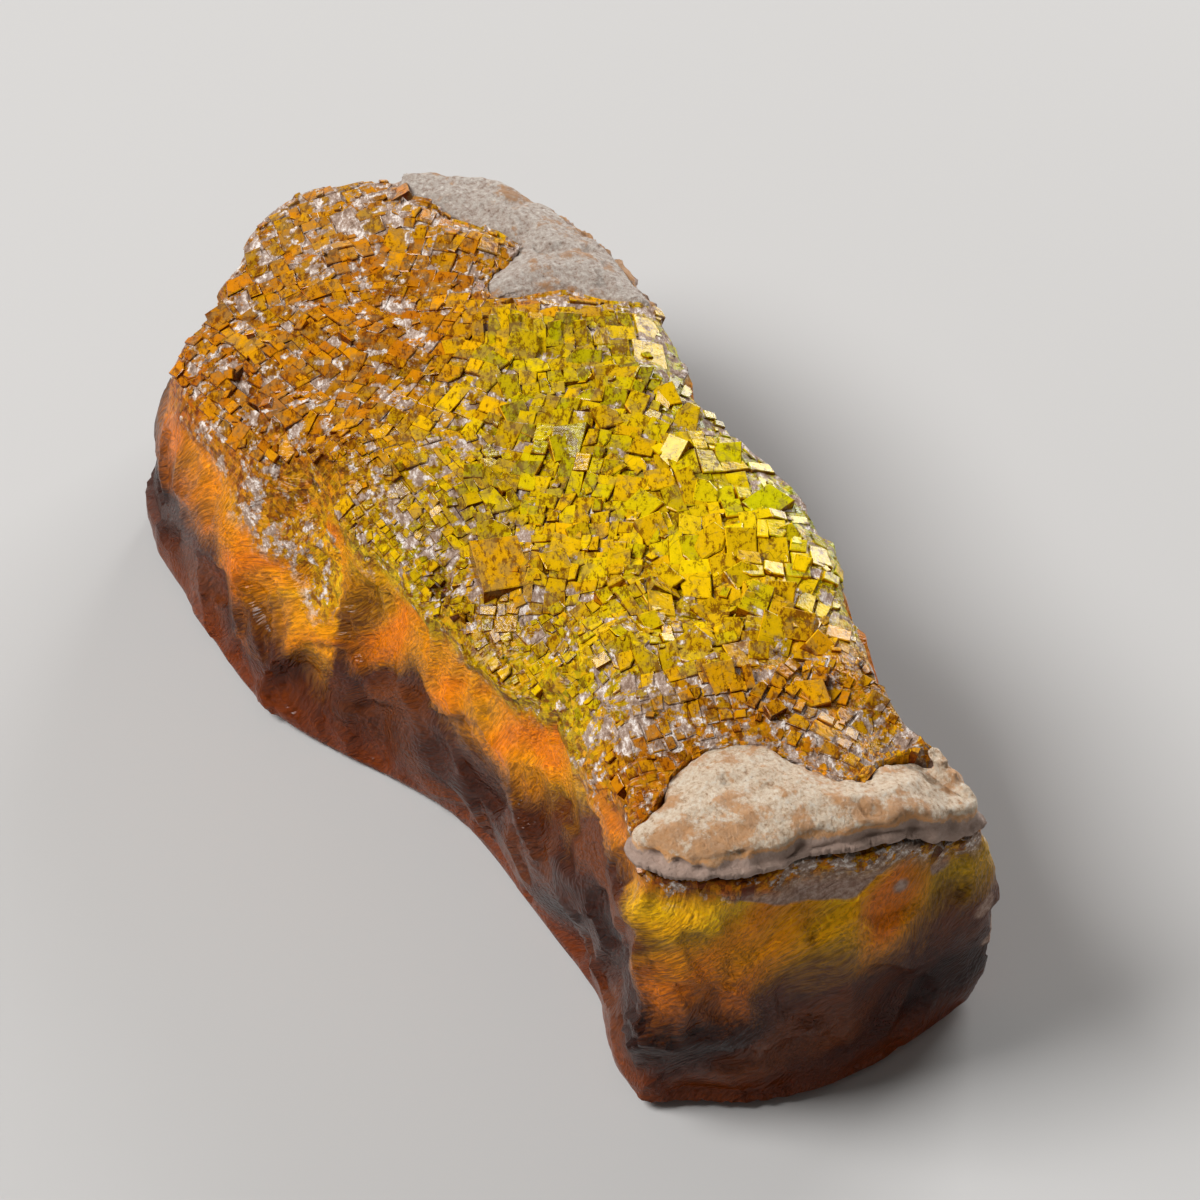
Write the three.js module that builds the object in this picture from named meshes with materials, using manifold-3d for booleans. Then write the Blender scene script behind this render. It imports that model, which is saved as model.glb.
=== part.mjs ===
// A hand-sized fluorite specimen: a thick slab of amber vein fluorite with a mosaic of small intergrown
// cubes on top, lying on its flat cleavage base, with two patches of pale mineral crust on its upper edge.
// Millimetres, +Z up. X runs along the slab's length, and the broken end with the cream crust is at +X.
import * as THREE from "three";
import { mergeVertices } from "three/addons/utils/BufferGeometryUtils.js";
import Module from "manifold-3d";

// Driving dimensions
const FOOT_HEIGHT = 0.9; // the broken lower edge stands this far above the base
const BASE_SHARE = 0.94; // the flat base's width as a share of the lower edge's
const WALL_BULGE = 0.9; // how far the broken walls swell out at half height
const WALL_ROUGHNESS = 0.7; // hackly fracture of the walls
const ROUGHNESS_SCALE = 5.5; // size of the fracture's lumps
const TOP_CROWN = 1.4; // the mosaic's middle stands above its rim
const CROWN_INSET = 0.5; // the crown is at its full height this share of the way in from the rim
const TOP_WAVES = 0.8; // height of the mosaic's slow waves
const WAVE_SCALE = 11; // length of those waves
const CRYSTAL_SIZE = { least: 1.7, most: 3.0 }; // edge of the larger cubes
const CRYSTAL_STRETCH = { least: 0.6, most: 1.3 }; // a cube's width as a share of its length
const CRYSTAL_COUNT = 84;
const CRYSTAL_SEED = 7;
const CRYSTAL_AREA = { least: 0.02, most: 0.8 }; // the part of the mosaic with cubes, as shares of its area
const CRYSTAL_SINK = 0.2; // how far a cube's middle lies below the mosaic, as a share of its size
const CRYSTAL_TILT = 0.22; // radians that a cube leans from upright
const CRUST_MARGIN = 1.2; // a cube keeps this many times its size away from a crust
const GRAIN_YAW = [0.35, 0.95, 1.3]; // radians, how the cubes of each grain of the mosaic are turned
const GRAIN_SIZE = 16; // size of a grain
const FRONT_CRUST_THICKNESS = 2.0;
const BACK_CRUST_THICKNESS = 1.7;
const CRUST_GAP = 0.3; // clearance between a crust and the fluorite under it
const CUT_MARGIN = 3; // keeps a crust's cut surface clear of the slab's own walls
const COLUMN_HEIGHT = 60; // taller than the slab
const STEPS_PER_STATION = 3; // columns of the surface between two stations
const WALL_ROWS = 7;
const TOP_RINGS = 6;
const RING_CROWDING = 1.2; // above 1, the rings lie closer together near the rim
const TANGENT_STEP = 1e-3; // share of a curve over which its direction is taken
const TOP_CENTRE = [6, -0.5, 21.5]; // where the rings of the mosaic meet

// The slab's edge, counterclockwise from above: at each station, the rim of the mosaic (x, y, z) and the
// lower edge of the wall below it (x, y).
const STATIONS = [
  // Broken end with the cream crust
  { rim: [32, -12, 24], foot: [33, -13] },
  { rim: [34.5, -10, 24.3], foot: [34.5, -10.5] },
  { rim: [36, -7.5, 24.5], foot: [36.5, -7.5] },
  { rim: [36, -4, 24.5], foot: [37.5, -4.5] },
  { rim: [37, -1, 24.3], foot: [38, -0.5] },
  { rim: [37.5, 3, 23.7], foot: [37.5, 4] },
  { rim: [37.5, 7.5, 21], foot: [35.5, 10.5] },
  // Right flank
  { rim: [34.8, 7.2, 23], foot: [33.5, 9.8] },
  { rim: [31, 6.9, 23], foot: [31, 9.2] },
  { rim: [26, 7.5, 22.5], foot: [26.5, 10] },
  { rim: [20.5, 9.5, 22], foot: [21, 11.5] },
  { rim: [15, 11.5, 21.5], foot: [15, 13] },
  { rim: [10, 12.5, 21], foot: [10, 14.5] },
  { rim: [4, 12.5, 20.5], foot: [4, 15] },
  { rim: [-4, 12.5, 20], foot: [-3.5, 15] },
  { rim: [-11, 14.5, 19.5], foot: [-10.5, 17] },
  { rim: [-16.5, 15, 19], foot: [-16.5, 18] },
  { rim: [-22, 15, 18.5], foot: [-22.5, 18] },
  // Rounded far end
  { rim: [-27, 14, 18], foot: [-27.5, 16] },
  { rim: [-31.5, 12, 17.5], foot: [-32.5, 13.5] },
  { rim: [-33.5, 9, 17.5], foot: [-35, 10] },
  { rim: [-36, 5, 17.5], foot: [-37.5, 6] },
  { rim: [-37, 1, 17], foot: [-38, 1] },
  { rim: [-36, -3, 16.5], foot: [-37, -3.5] },
  { rim: [-32.5, -6.5, 16.5], foot: [-34, -7.5] },
  { rim: [-30, -10, 16.3], foot: [-32, -11.5] },
  // Left flank
  { rim: [-26.5, -14, 16], foot: [-29.3, -15.9] },
  { rim: [-19, -14.5, 16.5], foot: [-20, -17.5] },
  { rim: [-14.5, -13.5, 17.5], foot: [-12, -18] },
  { rim: [-11, -12, 18], foot: [-6.5, -17] },
  { rim: [-6, -12, 18], foot: [-2, -15] },
  { rim: [1.5, -12, 18.5], foot: [2, -13] },
  { rim: [7, -12, 19], foot: [6, -11.5] },
  { rim: [11.5, -11.5, 19], foot: [10, -11] },
  { rim: [15.5, -10.5, 19.5], foot: [15, -11] },
  { rim: [20.5, -11, 20.5], foot: [19.5, -11] },
  { rim: [26, -11.5, 22], foot: [25, -11] },
];

// The crusts as seen from above, counterclockwise. Each outline runs past the slab's edge, and there the slab
// itself ends the crust.
const FRONT_CRUST = [
  [31.5, -14],
  [36, -14],
  [42, -6],
  [42, 9],
  [35, 9.5],
  [33.3, 6.5],
  [33, 4],
  [34.3, 2],
  [34, 0.2],
  [31.5, -1.3],
  [29, -3],
  [28, -6.5],
  [30.5, -10.5],
];
const BACK_CRUST = [
  [-36, 9],
  [-30.5, 7],
  [-26.5, 9.5],
  [-22.5, 10.5],
  [-20.5, 7],
  [-18.5, 6],
  [-17, 10.5],
  [-14.5, 12.5],
  [-12.5, 18],
  [-20, 21],
  [-32, 18],
];

// Colours and finish
const FLUORITE = new THREE.MeshStandardMaterial({
  color: 0xc98f14,
  roughness: 0.3,
  metalness: 0,
  transparent: true,
  opacity: 0.85,
});
const CREAM_CRUST = new THREE.MeshStandardMaterial({ color: 0xcdb497, roughness: 0.85, metalness: 0 });
const PALE_CRUST = new THREE.MeshStandardMaterial({ color: 0xb09a88, roughness: 0.75, metalness: 0 });

const wasm = await Module();
wasm.setup();

// A repeatable stream of numbers from 0 to 1.
function randomStream(seed) {
  const modulus = 2 ** 32;
  const multiplier = 1664525;
  const increment = 1013904223;
  let state = seed;
  return () => {
    state = (state * multiplier + increment) % modulus;
    return state / modulus;
  };
}

// A fixed number from -1 to 1 for each corner of the unit lattice.
function latticeValue(x, y, z) {
  const spread = new THREE.Vector3(127.1, 311.7, 74.7);
  const gain = 43758.5453;
  const wave = gain * Math.sin(spread.dot(new THREE.Vector3(x, y, z)));
  return 2 * (wave - Math.floor(wave)) - 1;
}

// Smooth noise from -1 to 1.
function noise(x, y, z) {
  const corner = [x, y, z].map(Math.floor);
  const ease = [x, y, z].map((v, i) => THREE.MathUtils.smoothstep(v - corner[i], 0, 1));
  let sum = 0;
  for (const dx of [0, 1])
    for (const dy of [0, 1])
      for (const dz of [0, 1]) {
        const share = [dx, dy, dz].reduce((w, d, i) => w * (d ? ease[i] : 1 - ease[i]), 1);
        sum += share * latticeValue(corner[0] + dx, corner[1] + dy, corner[2] + dz);
      }
  return sum;
}

const columns = STATIONS.length * STEPS_PER_STATION;
const rimCurve = closedCurve(STATIONS.map((s) => new THREE.Vector3(...s.rim)));
const footCurve = closedCurve(STATIONS.map((s) => new THREE.Vector3(...s.foot, FOOT_HEIGHT)));
const topCentre = new THREE.Vector3(...TOP_CENTRE);

function closedCurve(points) {
  return new THREE.CatmullRomCurve3(points, true, "centripetal");
}

// The level direction out of the slab at a share of the way round it.
function outward(curve, share) {
  const ahead = curve.getPoint((share + TANGENT_STEP) % 1);
  const behind = curve.getPoint((share + 1 - TANGENT_STEP) % 1);
  const tangent = ahead.sub(behind);
  return new THREE.Vector3(tangent.y, -tangent.x, 0).normalize();
}

// A point of the wall: row 0 is the lower edge and row 1 the rim.
function wallPoint(share, row) {
  const point = footCurve.getPoint(share).lerp(rimCurve.getPoint(share), row);
  const rough = noise(point.x / ROUGHNESS_SCALE, point.y / ROUGHNESS_SCALE, point.z / ROUGHNESS_SCALE);
  const swell = Math.sin(Math.PI * row) * (WALL_BULGE + WALL_ROUGHNESS * rough);
  return point.addScaledVector(outward(rimCurve, share), swell);
}

// A point of the mosaic: inset 0 is its rim and 1 its centre.
function topPoint(share, inset) {
  const point = rimCurve.getPoint(share).lerp(topCentre, inset);
  const inside = THREE.MathUtils.smoothstep(inset, 0, CROWN_INSET);
  const waves = TOP_WAVES * noise(point.x / WAVE_SCALE, point.y / WAVE_SCALE, 0);
  point.z += inside * (TOP_CROWN * (1 - inset) + waves);
  return point;
}

// The slab as one closed surface. Its mosaic can be let down and its walls grown, for cutting the crusts.
function slab(topDrop = 0, wallGrowth = 0) {
  const rings = [];
  const ring = (pointAt) => rings.push(Array.from({ length: columns }, (_, i) => pointAt(i / columns)));
  const grown = (point, share, inset = 0) =>
    point.addScaledVector(outward(rimCurve, share), wallGrowth * (1 - inset));
  ring((share) => footCurve.getPoint(share).multiplyScalar(BASE_SHARE).setZ(0));
  for (let row = 0; row < WALL_ROWS; row++)
    ring((share) => grown(wallPoint(share, row / WALL_ROWS), share));
  for (let step = 0; step < TOP_RINGS; step++) {
    const inset = (step / TOP_RINGS) ** RING_CROWDING;
    ring((share) => grown(topPoint(share, inset), share, inset));
  }
  const points = rings.flat();
  points.push(topPoint(0, 1));
  const firstTopPoint = columns * (1 + WALL_ROWS);
  points.slice(firstTopPoint).forEach((point) => (point.z -= topDrop));
  return solidFrom(points, slabFaces(rings));
}

// Triangles of the flat base, the bands between the rings and the fan at the mosaic's centre.
function slabFaces(rings) {
  const flat = rings[0].map((p) => new THREE.Vector2(p.x, p.y));
  const faces = THREE.ShapeUtils.triangulateShape(flat, []).map(([a, b, c]) => [c, b, a]);
  const last = rings.length - 1;
  for (let i = 0; i < columns; i++) {
    const next = (i + 1) % columns;
    for (let level = 0; level < last; level++) {
      const [low, high] = [level * columns, (level + 1) * columns];
      faces.push([low + i, low + next, high + next], [low + i, high + next, high + i]);
    }
    faces.push([last * columns + i, last * columns + next, rings.length * columns]);
  }
  return faces;
}

function solidFrom(points, faces) {
  const vertProperties = new Float32Array(points.flatMap((p) => [p.x, p.y, p.z]));
  return new wasm.Manifold(
    new wasm.Mesh({ numProp: 3, vertProperties, triVerts: new Uint32Array(faces.flat()) }),
  );
}

function solidOf(geometry) {
  const bare = geometry.clone();
  bare.deleteAttribute("normal");
  bare.deleteAttribute("uv");
  const merged = mergeVertices(bare);
  return new wasm.Manifold(
    new wasm.Mesh({
      numProp: 3,
      vertProperties: merged.attributes.position.array,
      triVerts: new Uint32Array(merged.index.array),
    }),
  );
}

// The upright column that a crust's outline stands for, grown by a margin.
function crustColumn(outline, margin) {
  const curve = closedCurve(outline.map(([x, y]) => new THREE.Vector3(x, y, 0)));
  const steps = outline.length * STEPS_PER_STATION;
  const edge = Array.from({ length: steps }, (_, i) => {
    const point = curve.getPoint(i / steps).addScaledVector(outward(curve, i / steps), margin);
    return new THREE.Vector2(point.x, point.y);
  });
  const upright = { depth: COLUMN_HEIGHT, bevelEnabled: false };
  return solidOf(new THREE.ExtrudeGeometry(new THREE.Shape(edge), upright));
}

// Whether a point of the mosaic is clear of both crusts by a margin.
function clearOfCrusts(point, margin) {
  return [FRONT_CRUST, BACK_CRUST].every((outline) => {
    const corners = outline.map(([x, y]) => new THREE.Vector2(x, y));
    const centre = corners.reduce((sum, c) => sum.add(c), new THREE.Vector2()).divideScalar(corners.length);
    const inside = (x, y) => {
      let hit = false;
      corners.forEach((a, i) => {
        const b = corners[(i + 1) % corners.length];
        const crossing = ((b.x - a.x) * (y - a.y)) / (b.y - a.y) + a.x;
        if (a.y > y !== b.y > y && x < crossing) {
          hit = !hit;
        }
      });
      return hit;
    };
    const toCentre = centre.sub(new THREE.Vector2(point.x, point.y)).setLength(margin);
    return !inside(point.x, point.y) && !inside(point.x + toCentre.x, point.y + toCentre.y);
  });
}

function between(range, share) {
  return THREE.MathUtils.lerp(range.least, range.most, share);
}

// One cube of the mosaic, sunk into the slab by more than half.
function crystal(point, random) {
  const size = between(CRYSTAL_SIZE, random());
  const stretch = [1, between(CRYSTAL_STRETCH, random()), 1];
  const grain = Math.abs(Math.floor(point.x / GRAIN_SIZE) + Math.floor(point.y / GRAIN_SIZE));
  const lean = () => CRYSTAL_TILT * (2 * random() - 1);
  const turn = new THREE.Euler(lean(), lean(), GRAIN_YAW[grain % GRAIN_YAW.length] + lean(), "ZYX");
  const box = new THREE.BoxGeometry(...stretch.map((s) => s * size));
  const place = new THREE.Matrix4().makeRotationFromEuler(turn);
  place.setPosition(point.x, point.y, point.z - CRYSTAL_SINK * size);
  return { size, solid: solidOf(box.applyMatrix4(place)) };
}

// The cubes that stand on the mosaic, away from its rim and from the crusts.
function crystals() {
  const random = randomStream(CRYSTAL_SEED);
  const made = [];
  while (made.length < CRYSTAL_COUNT) {
    const share = random();
    const inset = 1 - Math.sqrt(between(CRYSTAL_AREA, random()));
    const point = topPoint(share, inset);
    const { size, solid } = crystal(point, random);
    if (clearOfCrusts(point, size * CRUST_MARGIN)) {
      made.push(solid);
    }
  }
  return made;
}

function meshFrom(name, solid, material) {
  const { vertProperties, triVerts } = solid.getMesh();
  const geometry = new THREE.BufferGeometry();
  geometry.setAttribute("position", new THREE.BufferAttribute(vertProperties, 3));
  geometry.setIndex(new THREE.BufferAttribute(triVerts, 1));
  const mesh = new THREE.Mesh(geometry.toNonIndexed(), material);
  mesh.geometry.computeVertexNormals();
  mesh.name = name;
  return mesh;
}

// A crust and the pocket in the fluorite that holds it.
function crustAndPocket(outline, thickness) {
  const under = slab(thickness, CUT_MARGIN);
  const pocketFloor = slab(thickness + CRUST_GAP, CUT_MARGIN);
  return {
    crust: wholeSlab.intersect(crustColumn(outline, 0)).subtract(under),
    pocket: crustColumn(outline, CRUST_GAP).subtract(pocketFloor),
  };
}

// The outer skin alone, so that no gap stays sealed between the cubes.
function filled(solid) {
  return solid.decompose().reduce((largest, body) => (body.volume() > largest.volume() ? body : largest));
}

const wholeSlab = slab();
const front = crustAndPocket(FRONT_CRUST, FRONT_CRUST_THICKNESS);
const back = crustAndPocket(BACK_CRUST, BACK_CRUST_THICKNESS);
const grownTogether = filled(crystals().reduce((solid, cube) => solid.add(cube), wholeSlab));
const fluorite = grownTogether.subtract(front.pocket).subtract(back.pocket);

const specimen = new THREE.Group();
specimen.name = "fluorite_specimen";
specimen.add(
  meshFrom("fluorite", fluorite, FLUORITE),
  meshFrom("front_crust", front.crust, CREAM_CRUST),
  meshFrom("back_crust", back.crust, PALE_CRUST),
);

// The origin is under the middle of the specimen's box.
const middle = new THREE.Box3().setFromObject(specimen).getCenter(new THREE.Vector3());
specimen.position.set(-middle.x, -middle.y, 0);

export default specimen;
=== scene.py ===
import math

import bpy
import numpy as np
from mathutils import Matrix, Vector
from mathutils.kdtree import KDTree


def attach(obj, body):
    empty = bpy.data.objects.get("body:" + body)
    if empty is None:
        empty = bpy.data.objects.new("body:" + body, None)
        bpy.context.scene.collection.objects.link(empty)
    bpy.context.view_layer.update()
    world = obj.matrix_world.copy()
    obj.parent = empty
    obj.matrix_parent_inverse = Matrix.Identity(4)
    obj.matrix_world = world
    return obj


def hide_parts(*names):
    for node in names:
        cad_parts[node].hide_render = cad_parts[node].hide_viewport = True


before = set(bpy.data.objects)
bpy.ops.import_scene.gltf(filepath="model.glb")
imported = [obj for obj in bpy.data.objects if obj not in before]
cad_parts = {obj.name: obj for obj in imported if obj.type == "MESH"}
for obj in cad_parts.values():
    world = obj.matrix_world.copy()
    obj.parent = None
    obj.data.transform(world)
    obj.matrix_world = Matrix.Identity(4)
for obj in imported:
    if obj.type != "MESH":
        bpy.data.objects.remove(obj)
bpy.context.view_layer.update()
scene = bpy.context.scene

MM = 0.001
VIEWER = np.array([0.866, -0.5, 0.0])  # level direction from the specimen towards the camera
UP = np.array([0.0, 0.0, 1.0])


# Numbers

def smoothstep(value, low, high):
    """0 at low, 1 at high, and a smooth rise between them."""
    t = np.clip((value - low) / (high - low), 0.0, 1.0)
    return t * t * (3.0 - 2.0 * t)


HASH = np.array([374761393, 668265263, 1274126177])
SEED_STEP = 974711


def lattice(cell, seed):
    """A steady random number from -1 to 1 for each whole-numbered cell."""
    mixed = (cell @ HASH + seed * SEED_STEP) & 0xFFFFFFFF
    mixed = ((mixed ^ (mixed >> 13)) * 1103515245) & 0xFFFFFFFF
    mixed = ((mixed ^ (mixed >> 15)) * 668265263) & 0xFFFFFFFF
    return ((mixed ^ (mixed >> 16)) & 0xFFFF) / 32767.5 - 1.0


def noise(points, scale, seed):
    """Smooth noise from -1 to 1 at points in mm."""
    spread = points / scale
    cell = np.floor(spread).astype(np.int64)
    ease = spread - cell
    ease = ease * ease * (3.0 - 2.0 * ease)
    total = np.zeros(len(points))
    for corner in np.ndindex(2, 2, 2):
        share = np.prod(np.where(corner, ease, 1.0 - ease), axis=1)
        total += share * lattice(cell + np.array(corner), seed)
    return total


def fractal(points, scale, seed, octaves):
    """Noise with finer and fainter noise added to it."""
    return sum(noise(points, scale / 2 ** i, seed + i) / 2 ** i for i in range(octaves))


# Meshes

def evaluated(obj):
    """Points in mm, polygons and point normals of an object with its modifiers applied."""
    graph = bpy.context.evaluated_depsgraph_get()
    mesh = obj.evaluated_get(graph).to_mesh()
    points = np.empty(len(mesh.vertices) * 3)
    mesh.vertices.foreach_get("co", points)
    normals = np.empty(len(mesh.vertices) * 3)
    mesh.vertices.foreach_get("normal", normals)
    faces = [tuple(p.vertices) for p in mesh.polygons]
    obj.evaluated_get(graph).to_mesh_clear()
    return points.reshape(-1, 3) / MM, faces, normals.reshape(-1, 3)


def mesh_object(name, points, faces, collection=None):
    """A new object from points in mm and faces."""
    mesh = bpy.data.meshes.new(name)
    mesh.from_pydata((np.asarray(points) * MM).tolist(), [], faces)
    mesh.update()
    obj = bpy.data.objects.new(name, mesh)
    (collection or scene.collection).objects.link(obj)
    return obj


def remeshed(node, voxel):
    """A CAD node's surface as an even mesh."""
    copy = bpy.data.objects.new("copy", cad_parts[node].data.copy())
    scene.collection.objects.link(copy)
    change = copy.modifiers.new("remesh", "REMESH")
    change.mode = "VOXEL"
    change.voxel_size = voxel * MM
    result = evaluated(copy)
    bpy.data.objects.remove(copy)
    return result


def edges_of(faces):
    """Each edge of a mesh once, as a pair of point numbers."""
    pairs = np.array([(f[i], f[i - 1]) for f in faces for i in range(len(f))])
    pairs.sort(axis=1)
    return np.unique(pairs, axis=0)


def normals_of(points, faces):
    """Normals at the points of a mesh of quads."""
    corners = points[np.array(faces)]
    flat = np.cross(corners[:, 2] - corners[:, 0], corners[:, 3] - corners[:, 1])
    total = np.zeros_like(points)
    for i in range(4):
        np.add.at(total, np.array(faces)[:, i], flat)
    return total / np.linalg.norm(total, axis=1)[:, None]


def relaxed(points, edges, weight, rounds):
    """Points drawn towards the middle of their neighbours."""
    count = np.bincount(edges.ravel(), minlength=len(points))[:, None]
    for _ in range(rounds):
        total = np.zeros_like(points)
        np.add.at(total, edges[:, 0], points[edges[:, 1]])
        np.add.at(total, edges[:, 1], points[edges[:, 0]])
        points = points + weight[:, None] * (total / count - points)
    return points


# Fluorite: the body

BODY_VOXEL = 0.42  # mm
TOP_RELAX_ROUNDS = 30
TOP_SINK = 0.3  # mm that the bare top lies below the CAD top, so that the blocks stand out of it
HOLLOW_DEPTH = 0.9  # mm
CHIP_COUNT = 260
CHIP_RADIUS = (1.5, 4.5)  # mm
CHIP_SEED = 17
FIBRE_FRAME = np.array([[0.80, -0.35, 0.48], [0.25, 0.93, 0.26], [-0.54, -0.09, 0.84]])


def tree_of(targets, flat=False):
    """A search tree of points, or of their plan."""
    tree = KDTree(len(targets))
    for i, target in enumerate(targets * np.array([1.0, 1.0, 0.0 if flat else 1.0])):
        tree.insert(target, i)
    tree.balance()
    return tree


def nearest(places, targets, flat=False):
    """For each place the index of the nearest target and its distance."""
    tree = tree_of(targets, flat)
    found = [tree.find(place) for place in places * np.array([1.0, 1.0, 0.0 if flat else 1.0])]
    return np.array([f[1] for f in found]), np.array([f[2] for f in found])


class Body:
    """The slab without its crystals: an even mesh of the CAD node, with broken walls."""

    def __init__(self, crust):
        self.points, self.faces, self.normals = remeshed("fluorite", BODY_VOXEL)
        edges = edges_of(self.faces)
        on_top = smoothstep(self.normals[:, 2], 0.2, 0.5) * smoothstep(self.points[:, 2], 10, 13)
        self.points = relaxed(self.points, edges, 0.6 * on_top, TOP_RELAX_ROUNDS)
        self.normals = normals_of(self.points, self.faces)
        self.top = (self.normals[:, 2] > 0.4) & (self.points[:, 2] > 12)
        self.wall = (np.abs(self.normals[:, 2]) < 0.25) & (self.points[:, 2] > 11)
        self.break_walls(crust)
        self.points[:, 2] -= (TOP_SINK + HOLLOW_DEPTH * hollow_share(self.points)) * on_top

    def break_walls(self, crust):
        """Lumps, fibres, steps and chips on the walls, fading out beside the crusts."""
        points, normals = self.points, self.normals
        free = smoothstep(nearest(points, crust)[1], 0.4, 3.0)
        wall = (1.0 - smoothstep(np.abs(normals[:, 2]), 0.6, 0.9)) * smoothstep(points[:, 2], 0.2, 1.2)
        lumps = 0.55 * fractal(points, 7.0, 11, 3)
        along = points @ FIBRE_FRAME.T / np.array([1.0, 1.0, 4.5])
        fibres = 0.07 * fractal(along, 1.0, 23, 2)
        steps = 0.2 * np.abs(noise(points, 3.1, 31)) + 0.08 * np.abs(noise(points, 1.2, 37))
        level = normals * np.array([1.0, 1.0, 0.3])
        self.points = points + level * (wall * free * (lumps + fibres - steps))[:, None]
        self.chip(np.flatnonzero((np.abs(normals[:, 2]) < 0.5) & (points[:, 2] > 1.0)), wall * free)

    def chip(self, able, share):
        """Flat broken facets on the walls."""
        rng = np.random.default_rng(CHIP_SEED)
        for i in rng.choice(able, CHIP_COUNT):
            normal = self.normals[i] + 0.3 * rng.normal(size=3)
            normal = normal / np.linalg.norm(normal)
            apart = self.points - self.points[i]
            inside = np.linalg.norm(apart, axis=1) < rng.uniform(*CHIP_RADIUS)
            above = np.clip(apart @ normal + rng.uniform(0.05, 0.3), 0.0, 0.45)
            self.points -= normal * (above * inside * share)[:, None]

    def lift(self, places):
        """How far places stand above the bare top, in mm."""
        top = self.points[self.top]
        return places[:, 2] - top[nearest(places, top, True)[0], 2]

    def inset(self, places):
        """How far places of the mosaic lie from its rim, in mm."""
        return nearest(places, self.points[self.wall], True)[1]


# Fluorite: the mosaic of cubes

BLOCK_TALL = 1.6  # mm
CORNER_MITRE = 1.4  # how far a bevel draws in a corner, for each mm of bevel
BLOCK_LEAST = (1.0, 0.8)  # mm
BLOCK_MOST = (3.4, 2.4)  # mm
RIM_SLACK = 0.4  # mm that a block may reach past the top
CUT_CORNERS = 0.35  # share of the blocks with a corner cut off
MOSAIC_SEED = 41
CORNER_GAP = 3.6  # mm between the cubes that stand on an edge
SCATTER_CELL = 2  # mm


def prism(plan, bevel):
    """A block with a flat top at height 0 and bevelled upper edges, from its plan."""
    count = len(plan)
    middle = plan.mean(axis=0)
    reach = np.linalg.norm(plan - middle, axis=1)[:, None]
    inner = middle + (plan - middle) * (1 - CORNER_MITRE * bevel / reach)
    levels = ((plan, -BLOCK_TALL), (plan, -bevel), (inner, 0.0))
    rings = [np.column_stack([ring, np.full(count, z)]) for ring, z in levels]
    faces = [tuple(range(count))[::-1], tuple(range(2 * count, 3 * count))]
    for level in (0, count):
        for i in range(count):
            after = (i + 1) % count
            faces.append((level + i, level + after, level + count + after, level + count + i))
    return np.concatenate(rings), faces


def outline(size, rng):
    """An uneven rectangle, now and then with a corner cut off."""
    half = size / 2
    corners = np.array([[-1, -1], [1, -1], [1, 1], [-1, 1]]) * half
    corners = corners + rng.uniform(-0.1, 0.1, (4, 2)) * size
    if rng.random() < CUT_CORNERS:
        k = rng.integers(4)
        cut = rng.uniform(0.25, 0.5, 2)
        first = corners[k] + (corners[k - 1] - corners[k]) * cut[0]
        second = corners[k] + (corners[(k + 1) % 4] - corners[k]) * cut[1]
        corners = np.concatenate([corners[:k], [first, second], corners[k + 1:]])
    return corners


def turn(axis, angle):
    """The matrix of a turn about an axis."""
    axis = axis / np.linalg.norm(axis)
    x, y, z = axis
    cross = np.array([[0, -z, y], [z, 0, -x], [-y, x, 0]])
    return np.eye(3) + math.sin(angle) * cross + (1 - math.cos(angle)) * cross @ cross


def stepped_share(points):
    """1 where the mosaic is built of steps that face the viewer, 0 where it is a pavement."""
    reach = np.hypot((points[:, 0] - 7) / 21, (points[:, 1] - 3.5) / 9)
    return 1.0 - smoothstep(reach + 0.25 * noise(points, 7.0, 5), 0.75, 1.1)


# Hollows in the mosaic, whose facets get painted shade: middle (x, y) in mm, level direction, half length
# and half width.
HOLLOWS = [((3.4, -10.0), (0.9, -0.44), (1.5, 0.9)), ((-21.0, -11.6), (0.98, -0.2), (3.6, 0.6))]
PLATE = (5.9, -7.3)
PLATE_SIZE = np.array([4.4, 3.0])
COLUMNS = (-12.5, 5.1)
COLUMN_WIDTH = 0.84
COLUMN_STEP = 0.82


def hollow_share(points):
    """1 at the bottom of a hollow, 0 outside. The facets there are darkened as painted shade."""
    share = np.zeros(len(points))
    for middle, (along, across), half in HOLLOWS:
        apart = points[:, :2] - middle
        length = apart @ np.array([along, across]) / half[0]
        width = apart @ np.array([-across, along]) / half[1]
        share = np.maximum(share, np.exp(-length ** 2 - width ** 2))
    return share


def spot(points, middle, radius):
    """1 at a place of the mosaic, falling to 0 around it."""
    return np.exp(-((points[:, :2] - middle) ** 2 / np.square(radius)).sum(axis=1))


def grout_share(points):
    """1 where the crystals lie apart in grey dust, beside the front crust."""
    reach = np.hypot((points[:, 0] - 28.5) / 6.5, (points[:, 1] + 1.0) / 15)
    return 1.0 - smoothstep(reach + 0.2 * noise(points, 5.0, 6), 0.7, 1.15)


def scattered(places, able, gap, rng):
    """Some of the able places, each with its own gap to those chosen before in the cells around it."""
    chosen = []
    grid = {}
    for i in rng.permutation(able):
        x, y, z = places[i]
        cell = (int(x // SCATTER_CELL), int(y // SCATTER_CELL))
        around = [(cell[0] + dx, cell[1] + dy) for dx in (-1, 0, 1) for dy in (-1, 0, 1)]
        near = [j for key in around for j in grid.get(key, [])]
        if all(math.dist(places[j], (x, y, z)) > gap[i] for j in near):
            grid.setdefault(cell, []).append(i)
            chosen.append(i)
    return chosen


def facing(normal):
    """A turn that takes straight up to a normal."""
    axis = np.cross(UP, normal)
    return turn(axis, math.acos(min(normal[2], 1.0))) if np.linalg.norm(axis) > 1e-6 else np.eye(3)


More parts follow.
